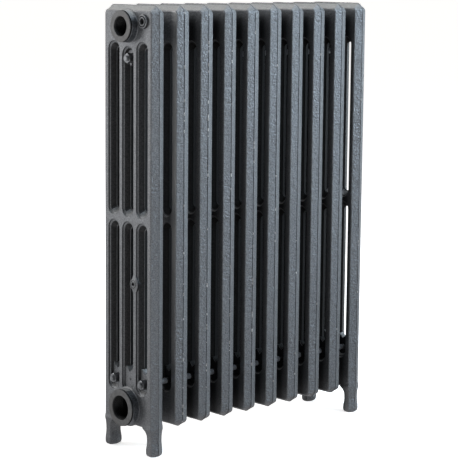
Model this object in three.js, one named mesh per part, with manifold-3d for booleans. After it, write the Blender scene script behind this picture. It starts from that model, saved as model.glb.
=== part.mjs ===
// Cast iron column radiator: ten sections of four slim columns, the two end sections on legs,
// joined by push nipples at the top and bottom ports and held together by three tie rods.
// Millimetres, +Z up, the floor at Z 0. X runs along the row of sections and -Y is the front.
import * as THREE from "three";
import { mergeVertices } from "three/addons/utils/BufferGeometryUtils.js";
import Module from "manifold-3d";

const wasm = await Module();
wasm.setup();

// The row.
const SECTIONS = 10;
const PITCH = 44.45; // centre to centre of neighbouring sections
const HEIGHT = 635;
const DEPTH = 112.7;
const BODY_FLOOR = 37; // underside of every section above the floor
const HALF = 11.5; // from a section's mould line to its side flats

// The rim round a section is a low roof whose ridge is the mould line. The roof falls as far as
// its shoulders, and a rounded edge runs on from them to the side flats.
const DROP_TOP = 6.8;
const DROP_BOTTOM = 4;
const DROP_FACE = 3.5; // on the front and back of a middle section
const DROP_LEG = 5; // on the front and back of an end section
const EDGE_INSET = 1.5; // from a shoulder to its side flat, along X
const EDGE_FALL = 2.6; // and across it
const CORNER = 7.8; // chamfer of the ridge at each corner
const CORNER_SIDE = 3.4; // and of the side flats
const CORNER_EASE = 0.9; // how far each end of a chamfer is rounded

// Slots between the columns: wide at the side flats, narrow at the mould line.
const COLUMN_PITCH = 31;
const SLOT_MOUTH = 12.3; // half width at the side flats
const SLOT_LIP = 9.4; // distance from the mould line where the wall begins to slope
const SLOT_WAIST = 6.7; // half width at the mould line
const SLOT_RAMP = 2.3; // extra rise of the sloping ends
const SLOT_ARC = 4; // facets of half a slot end
const LOWER_SLOT = [85.5, 332.3];
const UPPER_SLOT = [338.6, 585];
const UPPER_SLOT_MIDDLE = [338.6, 578];

// Webs across the slots: they carry the tie rods, but for the blind one low in the middle slot.
const WEB_HALF = 4.6;
const BLIND_WEB_HALF = 7;
const WEB_WIDTH = 22;
const LOWER_WEB = [80, 122.5];
const UPPER_WEB = [550, 583];
const WEB_HOLLOW = 7; // depth of the rounded free edge
const WEB_FACETS = 12;

// Ports.
const TOP_PORT_Z = 606;
const BOTTOM_PORT_Z = 65.5;
const NECK_RADIUS = 22.4;
const NECK_FACE = PITCH / 2 - 0.3;
const BORE_RADIUS = 17.3;
const PORT_FACETS = 16;

// Waterways.
const WATER_HALF_X = 7;
const COLUMN_WATER = [4.6, 1.6]; // half width at the mould line and at the sides
const COLUMN_OVERLAP = 10; // how far a column of water stops short of a header's far side
const TOP_HEADER = [591, 623];
const BOTTOM_HEADER = [46, 80];
const HEADER_REACH = 48;

// Push nipples.
const NIPPLE_RADIUS = 16.9;
const NIPPLE_END_RADIUS = 16.5;
const NIPPLE_BORE = 14.2;
const NIPPLE_HALF = 13.5;

// Threaded end hubs, [outer radius, hole radius].
const TOP_HUB = [22.4, 14];
const BOTTOM_HUB = [26.8, 17.9];
const HUB_FACE = 25;
const HUB_GROOVE = [23.6, 21.8]; // the turned groove behind the face, from the mould line
const HUB_GROOVE_DEPTH = 1.3;
const HUB_CHAMFER = 0.6;
const HUB_FLARE = 0.6; // growth of a hub where it meets the side flat
const HUB_FACETS = 28;

// Vent bosses on the outer side flat of an end section, stepped in toward their faces.
const TOP_VENT = { y: -35, z: 613, radius: 10.7, reach: 15.5, hole: 4.3 };
const LOW_VENT = { y: -14.3, z: 244.6, radius: 8, reach: 13.6, hole: 2.6 };
const VENT_FACE = 0.72; // share of a boss's radius at its face
const VENT_SHOULDER = 0.86; // and 1 mm behind it
const VENT_FACETS = 20;
const VENT_HOLE_FACETS = 16;
const VENT_HOLE_END = 5; // how near the mould line a vent hole ends, inside the water

// Tie rods, [Y, Z], with a nut and a washer at each end.
const RODS = { front: [-31, 102], rear: [31, 102], top: [0, 561.5] };
const ROD_RADIUS = 4;
const ROD_FACETS = 16;
const ROD_HOLE = 5;
const ROD_HOLE_FACETS = 8;
const NUT_FLATS = 12.7;
const NUT_THICK = 6.7;
const WASHER_RADIUS = 7.4;
const WASHER_THICK = 1.4;
const WASHER_FACETS = 20;
const ROD_STUB = 3; // how far the rod stands out of its nut
const GAP = 0.3; // clearance between touching pieces

// Levels of a leg: [Z, half thickness, flat toward the middle, flat outside, roof height].
const LEG_CENTRE = 46.6;
const LEG_LEVELS = [
  [0, 7.5, 3.6, 3.4, 2.6],
  [3.5, 10.6, 6.3, 5.2, 4.4],
  [10, 10.8, 6.6, 5.2, 4.5],
  [20, 10, 5.2, 4.6, 4.6],
  [31, 10.2, 6, 4.7, 4.8],
  [36, 11.1, 8.5, 4.7, 5],
  [41, 12.1, 13.5, 4.8, 5.1],
  [52, 10, 14, 4.7, 5],
];

function toSolid(geometry) {
  const bare = geometry.clone();
  bare.deleteAttribute("normal");
  bare.deleteAttribute("uv");
  const merged = mergeVertices(bare, 1e-4);
  return new wasm.Manifold(
    new wasm.Mesh({
      numProp: 3,
      vertProperties: new Float32Array(merged.attributes.position.array),
      triVerts: new Uint32Array(merged.index.array),
    }),
  );
}

function toGeometry(solid) {
  const mesh = solid.getMesh();
  const position = new Float32Array(mesh.numVert * 3);
  for (let i = 0; i < mesh.numVert; i++) {
    position.set(mesh.vertProperties.subarray(i * mesh.numProp, i * mesh.numProp + 3), i * 3);
  }
  const geometry = new THREE.BufferGeometry();
  geometry.setAttribute("position", new THREE.BufferAttribute(position, 3));
  geometry.setIndex(new THREE.BufferAttribute(new Uint32Array(mesh.triVerts), 1));
  const faceted = geometry.toNonIndexed();
  faceted.computeVertexNormals();
  return faceted;
}

// Skin over convex rings of equal length, counter-clockwise seen from the last ring.
function loft(rings) {
  const size = rings[0].length;
  const index = [];
  rings.slice(1).forEach((_, level) => {
    for (let i = 0; i < size; i++) {
      const a = level * size + i;
      const b = level * size + ((i + 1) % size);
      index.push(a, b, b + size, a, b + size, a + size);
    }
  });
  const last = (rings.length - 1) * size;
  for (let i = 1; i < size - 1; i++) {
    index.push(0, i + 1, i, last, last + i, last + i + 1);
  }
  const geometry = new THREE.BufferGeometry();
  geometry.setAttribute("position", new THREE.Float32BufferAttribute(rings.flat(2), 3));
  geometry.setIndex(index);
  return toSolid(geometry);
}

// A box given by its limits along each axis.
function block([x0, x1], [y0, y1], [z0, z1]) {
  const geometry = new THREE.BoxGeometry(x1 - x0, y1 - y0, z1 - z0);
  return toSolid(geometry.translate((x0 + x1) / 2, (y0 + y1) / 2, (z0 + z1) / 2));
}

// A turned solid along X, from [distance along X, radius] points that start and end on the axis.
function turned(points, facets, y, z) {
  const geometry = new THREE.LatheGeometry(points.map(([x, r]) => new THREE.Vector2(r, x)), facets);
  return toSolid(geometry.rotateZ(-Math.PI / 2).translate(0, y, z));
}

function rod(x0, x1, radius, facets, y, z) {
  return turned([[x0, 0], [x0, radius], [x1, radius], [x1, 0]], facets, y, z);
}

function unite(solids) {
  return solids.reduce((whole, piece) => whole.add(piece));
}

// The outline of a section's body in the YZ plane at one X.
function bodyRing(x, corner, dropFace, dropTop, dropBottom) {
  const front = DEPTH / 2 - dropFace;
  const [low, high] = [BODY_FLOOR + dropBottom, HEIGHT - dropTop];
  const ease = CORNER_EASE;
  const cut = [[0, corner + ease], [ease, corner - ease], [corner - ease, ease], [corner + ease, 0]];
  const flip = [...cut].reverse();
  return [
    ...cut.map(([a, b]) => [x, front - a, high - b]),
    ...flip.map(([a, b]) => [x, -front + a, high - b]),
    ...cut.map(([a, b]) => [x, -front + a, low + b]),
    ...flip.map(([a, b]) => [x, front - a, low + b]),
  ];
}

function body(dropFace) {
  const drops = [dropFace, DROP_TOP, DROP_BOTTOM];
  const side = (x) => bodyRing(x, CORNER_SIDE, ...drops.map((drop) => drop + EDGE_FALL));
  const shoulder = (x) => bodyRing(x, CORNER_SIDE, ...drops);
  return loft([
    side(-HALF),
    shoulder(EDGE_INSET - HALF),
    bodyRing(0, CORNER, 0, 0, 0),
    shoulder(HALF - EDGE_INSET),
    side(HALF),
  ]);
}

// One slot cutter: rings across X, each a stadium standing on end. The walls of an end section's
// slots stand square for a little way before they slope.
function slot(y, [low, high], square) {
  const ring = (x, half, ramp) => {
    const arc = (turn, z) =>
      Array.from({ length: SLOT_ARC + 1 }, (_, i) => {
        const angle = turn + (Math.PI * i) / SLOT_ARC;
        return [x, y + half * Math.cos(angle), z + half * Math.sin(angle)];
      });
    return [...arc(0, high - SLOT_MOUTH - ramp), ...arc(Math.PI, low + SLOT_MOUTH + ramp)];
  };
  const outside = SLOT_MOUTH + (square ? 0 : (SLOT_MOUTH - SLOT_WAIST) / HALF);
  return loft([
    ring(-HALF - 1, outside, 0),
    ...(square ? [ring(-SLOT_LIP, SLOT_MOUTH, 0)] : []),
    ring(0, SLOT_WAIST, SLOT_RAMP),
    ...(square ? [ring(SLOT_LIP, SLOT_MOUTH, 0)] : []),
    ring(HALF + 1, outside, 0),
  ]);
}

// A web across a slot, with its free edge hollowed at the top (side 1) or the bottom (side -1).
function web(y, half, [low, high], side) {
  const plate = block([-half, half], [y - WEB_WIDTH / 2, y + WEB_WIDTH / 2], [low, high]);
  const edge = side > 0 ? high : low;
  const radius = WEB_WIDTH / 2 - 1;
  const hollow = rod(-HALF, HALF, radius, WEB_FACETS, y, edge + side * (radius - WEB_HOLLOW));
  return plate.subtract(hollow);
}

function ports(solid, x0, x1) {
  return unite([
    solid,
    rod(x0, x1, NECK_RADIUS, PORT_FACETS, 0, TOP_PORT_Z),
    rod(x0, x1, NECK_RADIUS, PORT_FACETS, 0, BOTTOM_PORT_Z),
  ]);
}

// The water space: four columns between two headers, each narrower toward the side flats.
function water() {
  const column = (y) => {
    const [wide, narrow] = COLUMN_WATER;
    const ring = (z) => [
      [-WATER_HALF_X, y - narrow, z], [0, y - wide, z], [WATER_HALF_X, y - narrow, z],
      [WATER_HALF_X, y + narrow, z], [0, y + wide, z], [-WATER_HALF_X, y + narrow, z],
    ];
    return loft([ring(BOTTOM_HEADER[0] + COLUMN_OVERLAP), ring(TOP_HEADER[1] - COLUMN_OVERLAP)]);
  };
  const header = (span) => block(
    [-WATER_HALF_X, WATER_HALF_X], [-HEADER_REACH, HEADER_REACH], span,
  );
  return unite([
    header(BOTTOM_HEADER),
    header(TOP_HEADER),
    ...[-1.5, -0.5, 0.5, 1.5].map((n) => column(n * COLUMN_PITCH)),
  ]);
}

// The body with its slots cut and its webs standing in them.
function casting(dropFace, square) {
  let solid = body(dropFace);
  for (const n of [-1, 0, 1]) {
    const y = n * COLUMN_PITCH;
    solid = solid.subtract(slot(y, LOWER_SLOT, square));
    solid = solid.subtract(slot(y, n ? UPPER_SLOT : UPPER_SLOT_MIDDLE, square));
    solid = solid.add(web(y, n ? WEB_HALF : BLIND_WEB_HALF, LOWER_WEB, 1));
  }
  return solid.add(web(0, WEB_HALF, UPPER_WEB, -1));
}

// Everything cut through a casting after its necks and hubs are on.
function bored(solid, x0, x1) {
  let result = solid.subtract(water());
  for (const z of [TOP_PORT_Z, BOTTOM_PORT_Z]) {
    result = result.subtract(rod(x0, x1, BORE_RADIUS, PORT_FACETS, 0, z));
  }
  for (const [y, z] of Object.values(RODS)) {
    result = result.subtract(rod(-HALF, HALF, ROD_HOLE, ROD_HOLE_FACETS, y, z));
  }
  return result;
}

function middleSection() {
  return bored(ports(casting(DROP_FACE, false), -NECK_FACE, NECK_FACE), -PITCH, PITCH);
}

function leg(side) {
  const rings = LEG_LEVELS.map(([z, thick, inner, outer, roof]) => {
    const [a, b] = side < 0 ? [outer, inner] : [inner, outer];
    const y = side * LEG_CENTRE;
    return [
      [-thick, y - a, z], [0, y - a - roof, z], [thick, y - a, z],
      [thick, y + b, z], [0, y + b + roof, z], [-thick, y + b, z],
    ];
  });
  return loft(rings);
}

function hub([radius, hole], z) {
  const [groove0, groove1] = HUB_GROOVE;
  const outside = turned([
    [-HUB_FACE, 0], [-HUB_FACE, radius - HUB_CHAMFER], [-HUB_FACE + HUB_CHAMFER, radius],
    [-groove0, radius - HUB_GROOVE_DEPTH], [-groove1, radius - HUB_GROOVE_DEPTH],
    [-groove1, radius], [-HALF - 1, radius], [-HALF + 1, radius + HUB_FLARE],
    [0, radius + HUB_FLARE], [0, 0],
  ], HUB_FACETS, 0, z);
  return outside.subtract(rod(-HUB_FACE - 1, 1, hole, HUB_FACETS, 0, z));
}

function boss({ y, z, radius, reach }) {
  return turned([
    [-reach, 0], [-reach, radius * VENT_FACE], [-reach + 1, radius * VENT_SHOULDER],
    [-HALF - 0.6, radius], [-HALF + 3, radius], [-HALF + 3, 0],
  ], VENT_FACETS, y, z);
}

// An end section, its threaded hubs and vent bosses on the -X side.
function endSection() {
  const hubs = [[TOP_HUB, TOP_PORT_Z], [BOTTOM_HUB, BOTTOM_PORT_Z]];
  const vents = [TOP_VENT, LOW_VENT];
  let solid = unite([
    casting(DROP_LEG, true), leg(-1), leg(1),
    ...hubs.map(([size, z]) => hub(size, z)),
    ...vents.map(boss),
  ]);
  solid = bored(ports(solid, 0, NECK_FACE), 0, PITCH);
  for (const [[, hole], z] of hubs) {
    solid = solid.subtract(rod(-HUB_FACE - 1, 1, hole, HUB_FACETS, 0, z));
  }
  for (const { y, z, hole, reach } of vents) {
    solid = solid.subtract(rod(-reach - 1, -VENT_HOLE_END, hole, VENT_HOLE_FACETS, y, z));
  }
  return solid;
}

// A barrel-shaped ring pressed into the bores of two neighbours.
function nipple() {
  const outside = turned([
    [-NIPPLE_HALF, 0], [-NIPPLE_HALF, NIPPLE_END_RADIUS], [0, NIPPLE_RADIUS],
    [NIPPLE_HALF, NIPPLE_END_RADIUS], [NIPPLE_HALF, 0],
  ], PORT_FACETS, 0, 0);
  const inside = rod(-NIPPLE_HALF - 1, NIPPLE_HALF + 1, NIPPLE_BORE, PORT_FACETS, 0, 0);
  return outside.subtract(inside);
}

function nut() {
  const flats = new THREE.CylinderGeometry(NUT_FLATS / Math.sqrt(3), NUT_FLATS / Math.sqrt(3),
    NUT_THICK, 6).rotateZ(Math.PI / 2);
  return toSolid(flats).subtract(rod(-NUT_THICK, NUT_THICK, ROD_RADIUS + GAP, ROD_FACETS, 0, 0));
}

function washer() {
  const disc = rod(-WASHER_THICK / 2, WASHER_THICK / 2, WASHER_RADIUS, WASHER_FACETS, 0, 0);
  return disc.subtract(rod(-WASHER_THICK, WASHER_THICK, ROD_RADIUS + GAP, ROD_FACETS, 0, 0));
}

const paint = { color: 0x6a7078, metalness: 0.35, roughness: 0.5 };
const bareIron = { color: 0x6b6762, metalness: 0.6, roughness: 0.6 };
const steel = { color: 0x8c8f92, metalness: 0.8, roughness: 0.4 };

const group = new THREE.Group();
group.name = "cast_iron_radiator";

function place(name, solid, finish, [x, y, z], turn = 0) {
  const mesh = new THREE.Mesh(toGeometry(solid), new THREE.MeshStandardMaterial(finish));
  mesh.name = name;
  mesh.position.set(x, y, z);
  mesh.rotation.z = turn;
  group.add(mesh);
}

const centre = (index) => (index - (SECTIONS - 1) / 2) * PITCH;
const middle = middleSection();
const end = endSection();
place("end_section_left", end, paint, [centre(0), 0, 0]);
place("end_section_right", end, paint, [centre(SECTIONS - 1), 0, 0], Math.PI);
for (let i = 1; i < SECTIONS - 1; i++) {
  place(`middle_section_${i}`, middle, paint, [centre(i), 0, 0]);
}

const pushNipple = nipple();
for (let i = 0; i < SECTIONS - 1; i++) {
  place(`top_nipple_${i + 1}`, pushNipple, bareIron, [centre(i + 0.5), 0, TOP_PORT_Z]);
  place(`bottom_nipple_${i + 1}`, pushNipple, bareIron, [centre(i + 0.5), 0, BOTTOM_PORT_Z]);
}

// From the outer mould line: web, washer, nut, then the stub of the rod.
const washerX = centre(0) - WEB_HALF - GAP - WASHER_THICK / 2;
const nutX = washerX - WASHER_THICK / 2 - GAP - NUT_THICK / 2;
const rodEnd = nutX - NUT_THICK / 2 - ROD_STUB;
for (const [name, [y, z]] of Object.entries(RODS)) {
  place(`${name}_tie_rod`, rod(rodEnd, -rodEnd, ROD_RADIUS, ROD_FACETS, 0, 0), steel, [0, y, z]);
  for (const [side, sign] of [["left", 1], ["right", -1]]) {
    place(`${name}_nut_${side}`, nut(), steel, [sign * nutX, y, z]);
    place(`${name}_washer_${side}`, washer(), steel, [sign * washerX, y, z]);
  }
}

export default group;
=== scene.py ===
"""Cast iron column radiator in Blender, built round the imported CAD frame.

Lengths are millimetres in the builder functions and metres in the scene. The row of sections runs
along X, -Y is the front and the floor is at Z 0.
"""

import math
import random

import bmesh
import bpy
from mathutils import Matrix, Vector, noise


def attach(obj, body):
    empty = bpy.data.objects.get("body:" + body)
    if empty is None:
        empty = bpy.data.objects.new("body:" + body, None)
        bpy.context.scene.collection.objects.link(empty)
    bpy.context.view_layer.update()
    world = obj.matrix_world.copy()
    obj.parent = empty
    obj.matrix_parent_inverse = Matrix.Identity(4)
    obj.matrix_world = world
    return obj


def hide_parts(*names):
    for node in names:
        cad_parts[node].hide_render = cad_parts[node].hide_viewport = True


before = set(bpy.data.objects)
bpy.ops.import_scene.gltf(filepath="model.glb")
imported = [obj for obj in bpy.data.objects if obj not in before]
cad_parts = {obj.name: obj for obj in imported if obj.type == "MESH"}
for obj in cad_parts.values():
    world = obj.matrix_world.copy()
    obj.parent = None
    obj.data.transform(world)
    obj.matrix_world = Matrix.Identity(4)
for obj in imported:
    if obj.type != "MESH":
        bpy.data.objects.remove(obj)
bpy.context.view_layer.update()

MM = 0.001

# The row of sections and the outline of one, as the CAD has them. A section's rim falls from its
# ridge by a DROP at the shoulder, and by EDGE_FALL more at the side flat.
SECTIONS = 10
PITCH = 44.45
HEIGHT = 635.0
DEPTH = 112.7
BODY_FLOOR = 37.0
HALF = 11.5
DROP_TOP = 6.8
DROP_BOTTOM = 4.0
DROP_FACE = 3.5
DROP_LEG = 5.0
EDGE_INSET = 1.5
EDGE_FALL = 2.6
CORNER = 8.6
CORNER_SIDE = 3.4
CORNER_EASE = 1.4
RIDGE_EASE = 3.6
CORNER_STEPS = 3

# Slots and webs.
COLUMN_PITCH = 31.0
SLOT_MOUTH = 12.3
SLOT_WAIST = 6.7
SLOT_RAMP = 2.3
SLOT_LEDGE = 8.3
LOWER_SLOT = (85.5, 332.3)
UPPER_SLOT = (338.6, 585.0)
UPPER_SLOT_MIDDLE = (338.6, 578.0)

WEB_HALF = 4.6
BLIND_WEB_HALF = 7.0
LOWER_WEB = (80.0, 122.5)
UPPER_WEB = (550.0, 583.0)
WEB_WIDTH = 11.0
WEB_HOLLOW = 7.0
WEB_ROUND = 0.9
NOTCH_HALF = 6.5
DRIP = 9.5
DRIP_Y = 1.5
DRIP_HALF = 3.5

# Ports, with (radius, hole) for each hub and (pitch, depth) for each thread.
TOP_PORT_Z = 606.0
BOTTOM_PORT_Z = 65.5
NECK_RADIUS = 22.4
NECK_FACE = PITCH / 2 - 0.3
BORE_RADIUS = 17.3
TOP_HUB = (22.4, 14.0)
BOTTOM_HUB = (26.8, 17.9)
HUB_FACE = 25.0
HUB_BACK = 21.7
GROOVE_DEPTH = 2.0
# The upward slopes below which the hub barrels take their painted shade and sheen.
TOP_HUB_SLOPE = 0.6
BOTTOM_HUB_SLOPE = 0.95
PORT_THREAD = (2.31, 1.1)
VENT_THREAD = (1.34, 0.45)
ROD_THREAD = (1.25, 0.5)

# Vent bosses and the dimple as (y, z), and the radii between which each boss is grooved.
TOP_VENT = (-35.0, 613.0)
TOP_VENT_HOLE = 4.3
TOP_GROOVES = ((6.2, 7.5), (9.7, 10.9))
LOW_VENT = (-14.3, 244.6)
LOW_VENT_HOLE = 2.6
LOW_GROOVES = ((4.8, 5.9),)
BOSS_FOOT = 10.0
THREAD_REACH = 6.0
PAD_LIFT = 1.7
PAD_TIP = 2.9
PAD_SWELL = 4.7
PAD_REACH = 12.5
DIMPLE = (-1.5, 104.0)

# Tie rods as (y, z), threaded past SCREWED and painted in shade within SHADED_HALF of a section's
# middle, and their nuts.
RODS = {"front": (-31.0, 102.0), "rear": (31.0, 102.0), "top": (0.0, 561.5)}
ROD_HOLE = 5.0
ROD_RADIUS = 4.0
ROD_END = 216.3
SCREWED = ROD_END - 24
SHADED_HALF = 10.5
NUT_FLATS = 12.7
NUT_FACES = (206.6, 213.3)

# The parting flash: its root under the surface, its height and half thickness, how far each
# wanders, how ragged its edge is, and how far it strays from the ridge.
FLASH_STEP = 1.5
FLASH_ROOT = 0.7
FLASH_HEIGHT = 0.30
FLASH_SWELL = 0.35
FLASH_RAG = 0.22
FLASH_HALF = 0.58
FLASH_SPREAD = 0.25
FLASH_STRAY = 0.25
FLASH_PAINTED_TOP = 12.0
CHIP_LENGTHS = (1, 3)


def centre(index):
    """The X of a section's middle plane."""
    return (index - (SECTIONS - 1) / 2) * PITCH


# ---------------------------------------------------------------- meshes


def new_object(name, vertices, faces):
    """An object from millimetre vertices."""
    mesh = bpy.data.meshes.new(name)
    mesh.from_pydata([Vector(v) * MM for v in vertices], [], faces)
    mesh.validate()
    obj = bpy.data.objects.new(name, mesh)
    bpy.context.scene.collection.objects.link(obj)
    return obj


def loft(name, rings):
    """Closed skin over rings of equal length, counter-clockwise seen from the last ring."""
    size = len(rings[0])
    vertices = [v for ring in rings for v in ring]
    faces = []
    for level in range(len(rings) - 1):
        for i in range(size):
            a = level * size + i
            b = level * size + (i + 1) % size
            faces.append((a, b, b + size, a + size))
    last = (len(rings) - 1) * size
    faces.append(tuple(range(size))[::-1])
    faces.append(tuple(range(last, last + size)))
    return new_object(name, vertices, faces)


def turned(name, profile, facets, y=0.0, z=0.0):
    """A turned solid along X from (x, radius) points that start and end on the axis."""
    vertices, faces = [], []
    rows = []
    for x, r in profile:
        if r < 1e-6:
            rows.append([len(vertices)])
            vertices.append((x, y, z))
        else:
            start = len(vertices)
            for i in range(facets):
                a = 2 * math.pi * i / facets
                vertices.append((x, y + r * math.cos(a), z + r * math.sin(a)))
            rows.append(list(range(start, start + facets)))
    for low, high in zip(rows, rows[1:]):
        for i in range(facets):
            j = (i + 1) % facets
            if len(low) == 1:
                faces.append((low[0], high[i], high[j]))
            elif len(high) == 1:
                faces.append((low[i], high[0], low[j]))
            else:
                faces.append((low[i], high[i], high[j], low[j]))
    obj = new_object(name, vertices, faces)
    face_outward(obj.data)
    return obj


def face_outward(mesh):
    """Turn the faces of a closed mesh outward."""
    bm = bmesh.new()
    bm.from_mesh(mesh)
    bmesh.ops.recalc_face_normals(bm, faces=bm.faces)
    bm.to_mesh(mesh)
    bm.free()


def cylinder(name, x0, x1, radius, facets, y, z):
    """A solid cylinder along X."""
    return turned(name, [(x0, 0), (x0, radius), (x1, radius), (x1, 0)], facets, y, z)


def joined(objects):
    """One object from several that don't touch."""
    bm = bmesh.new()
    for obj in objects:
        bm.from_mesh(obj.data)
        remove(obj)
    mesh = bpy.data.meshes.new("joined")
    bm.to_mesh(mesh)
    bm.free()
    obj = bpy.data.objects.new("joined", mesh)
    bpy.context.scene.collection.objects.link(obj)
    return obj


def remove(obj):
    """Delete an object and its mesh."""
    mesh = obj.data
    bpy.data.objects.remove(obj)
    bpy.data.meshes.remove(mesh)


def boolean(target, tool, operation):
    """target changed by tool, which is used up."""
    face_outward(tool.data)
    modifier = target.modifiers.new("cut", "BOOLEAN")
    modifier.operation = operation
    modifier.solver = "EXACT"
    modifier.object = tool
    graph = bpy.context.evaluated_depsgraph_get()
    result = bpy.data.meshes.new_from_object(target.evaluated_get(graph))
    target.modifiers.clear()
    old = target.data
    target.data = result
    bpy.data.meshes.remove(old)
    remove(tool)
    return target


def finish_mesh(obj, angle=26):
    """Smooth shading with sharp edges, flats kept flat."""
    obj.data.shade_smooth()
    obj.data.set_sharp_from_angle(angle=math.radians(angle))
    modifier = obj.modifiers.new("flats", "WEIGHTED_NORMAL")
    modifier.keep_sharp = True
    modifier.weight = 80


# ---------------------------------------------------------------- the casting


def corner_points(size, ease):
    """A cast corner: a chamfer, rounded over the length ease where it meets the two edges."""
    points = []
    for ends in (((0, size + ease), (0, size), (ease, size - ease)),
                 ((size - ease, ease), (size, 0), (size + ease, 0))):
        start, bend, last = (Vector(p) for p in ends)
        for k in range(CORNER_STEPS + 1):
            t = k / CORNER_STEPS
            p = start * (1 - t) ** 2 + bend * 2 * t * (1 - t) + last * t**2
            points.append((p.x, p.y))
    return points


def body_ring(x, drop_face, drop_top, drop_bottom):
    """The outline of a section at X, each side of it dropped back from the ridge."""
    front = DEPTH / 2 - drop_face
    low, high = BODY_FLOOR + drop_bottom, HEIGHT - drop_top
    share = min(abs(x) / (HALF - EDGE_INSET), 1)
    size = CORNER + (CORNER_SIDE - CORNER) * share
    corner = corner_points(size, RIDGE_EASE + (CORNER_EASE - RIDGE_EASE) * share)
    back = corner[::-1]
    ring = [(x, front - a, high - b) for a, b in corner]
    ring += [(x, -front + a, high - b) for a, b in back]
    ring += [(x, -front + a, low + b) for a, b in corner]
    ring += [(x, front - a, low + b) for a, b in back]
    return ring


def body(drop_face):
    """The slab of a section: side flats, then the roof-shaped rim with its ridge at X 0.

    The roof falls straight to its shoulder, then a rounded edge runs down to the side flat.
    """
    shoulder = HALF - EDGE_INSET
    drops = (drop_face, DROP_TOP, DROP_BOTTOM)
    stations = [(0.9, [0.9 * drop / shoulder for drop in drops])]
    for k in range(8):
        t = k / 7
        start, bend, foot = (1 - t) ** 2, 2 * t * (1 - t), t**2
        x = start * shoulder + (bend + foot) * HALF
        falls = [start * d + bend * d * HALF / shoulder + foot * (d + EDGE_FALL) for d in drops]
        stations.append((x, falls))
    rings = [body_ring(-x, *falls) for x, falls in stations[::-1]]
    rings.append(body_ring(0, 0.08, 0.08, 0.08))
    rings += [body_ring(x, *falls) for x, falls in stations]
    return loft("body", rings)


def slot_ring(x, y, low, high, half, ramp, steps=14):
    """A slot's outline at X, half wide, its round ends drawn in by ramp."""
    ring = []
    for turn, z in ((0, high - SLOT_MOUTH - ramp), (math.pi, low + SLOT_MOUTH + ramp)):
        for i in range(steps + 1):
            a = turn + math.pi * i / steps
            ring.append((x, y + half * math.cos(a), z + half * math.sin(a)))
    return ring


def slot(y, span):
    """A slot cutter: a rounded mouth, a square lip, a narrow ledge and the slope to the waist."""
    profile = [
        (HALF + 1.0, SLOT_MOUTH + 0.7, -0.7),
        (HALF, SLOT_MOUTH + 0.7, -0.7),
        (HALF - 0.2, SLOT_MOUTH + 0.3, -0.3),
        (HALF - 0.6, SLOT_MOUTH, 0),
        (9.7, SLOT_MOUTH - 0.15, 0),
        (9.35, SLOT_MOUTH - 0.35, 0.1),
        (8.6, SLOT_MOUTH - 1.3, 0.5),
        (8.2, SLOT_MOUTH - 1.9, 0.8),
        (4.0, SLOT_WAIST + 1.9, SLOT_RAMP * 0.8),
        (1.2, SLOT_WAIST + 0.45, SLOT_RAMP),
        (0.55, SLOT_WAIST + 0.3, SLOT_RAMP),
        (0.3, SLOT_WAIST - 0.5, SLOT_RAMP + 0.6),
        (0.0, SLOT_WAIST - 0.6, SLOT_RAMP + 0.6),
    ]
    sides = [(-x, h, r) for x, h, r in profile] + [(x, h, r) for x, h, r in profile[-2::-1]]
    return loft("slot", [slot_ring(x, y, *span, h, r) for x, h, r in sides])


def web(y, half, span, side):
    """A web across a slot: side 1 has a notched free edge at the top, -1 a drip at the bottom."""
    low, high = span
    radius = WEB_WIDTH - 1
    edge = high if side > 0 else low
    other = low if side > 0 else high
    hollow_z = edge + side * (radius - WEB_HOLLOW)
    outline = []
    steps = 16
    for i in range(steps + 1):
        t = -1 + 2 * i / steps
        dy = t * radius
        dz = math.sqrt(max(radius**2 - dy**2, 0))
        z = hollow_z - side * dz
        if side > 0:
            notch = edge - WEB_HOLLOW * (1 - min(abs(dy) / NOTCH_HALF, 1)) ** 0.85
            z = min(max(z, notch), high)
        else:
            z -= DRIP * max(1 - abs(dy - DRIP_Y) / DRIP_HALF, 0)
        z = max(z, low)
        outline.append((dy, z))
    outline = [(-WEB_WIDTH, edge)] + outline + [(WEB_WIDTH, edge)]
    outline += [(WEB_WIDTH, other), (-WEB_WIDTH, other)]
    stations = [(-half, WEB_ROUND), (-half + 0.3, 0.3), (-half + WEB_ROUND, 0)]
    stations += [(-x, pull) for x, pull in stations[::-1]]
    rings = []
    for x, pull in stations:
        ring = []
        for dy, z in outline:
            shift = -side * pull if z != other else 0
            ring.append((x, y + dy, z + shift))
        rings.append(ring)
    return loft("web", rings)


def neck_profile(radius, x0, x1):
    """A neck between two sections, its rims eased and its foot flared into the body."""
    return [
        (x0, 0), (x0, radius - 0.8), (x0 + 0.8, radius), (-HALF - 1.6, radius),
        (-HALF - 0.5, radius + 0.5), (-HALF + 0.6, radius + 1.6), (HALF - 0.6, radius + 1.6),
        (HALF + 0.5, radius + 0.5), (HALF + 1.6, radius), (x1 - 0.8, radius),
        (x1, radius - 0.8), (x1, 0),
    ]


def casting(drop_face):
    """What every section has: the body with its six slots and the webs in them."""
    solid = body(drop_face)
    slots, webs = [], []
    for n in (-1, 0, 1):
        y = n * COLUMN_PITCH
        slots.append(slot(y, LOWER_SLOT))
        slots.append(slot(y, UPPER_SLOT if n else UPPER_SLOT_MIDDLE))
        webs.append(web(y, WEB_HALF if n else BLIND_WEB_HALF, LOWER_WEB, 1))
    webs.append(web(0, WEB_HALF, UPPER_WEB, -1))
    boolean(solid, joined(slots), "DIFFERENCE")
    return boolean(solid, joined(webs), "UNION")


def bored(solid, x0, x1):
    """A casting with its port bores from x0 to x1 and its rod holes."""
    bores = [cylinder("bore", x0, x1, BORE_RADIUS, 48, 0, z) for z in (TOP_PORT_Z, BOTTOM_PORT_Z)]
    bores += [cylinder("rod_hole", -HALF, HALF, ROD_HOLE, 24, y, z) for y, z in RODS.values()]
    return boolean(solid, joined(bores), "DIFFERENCE")


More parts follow.
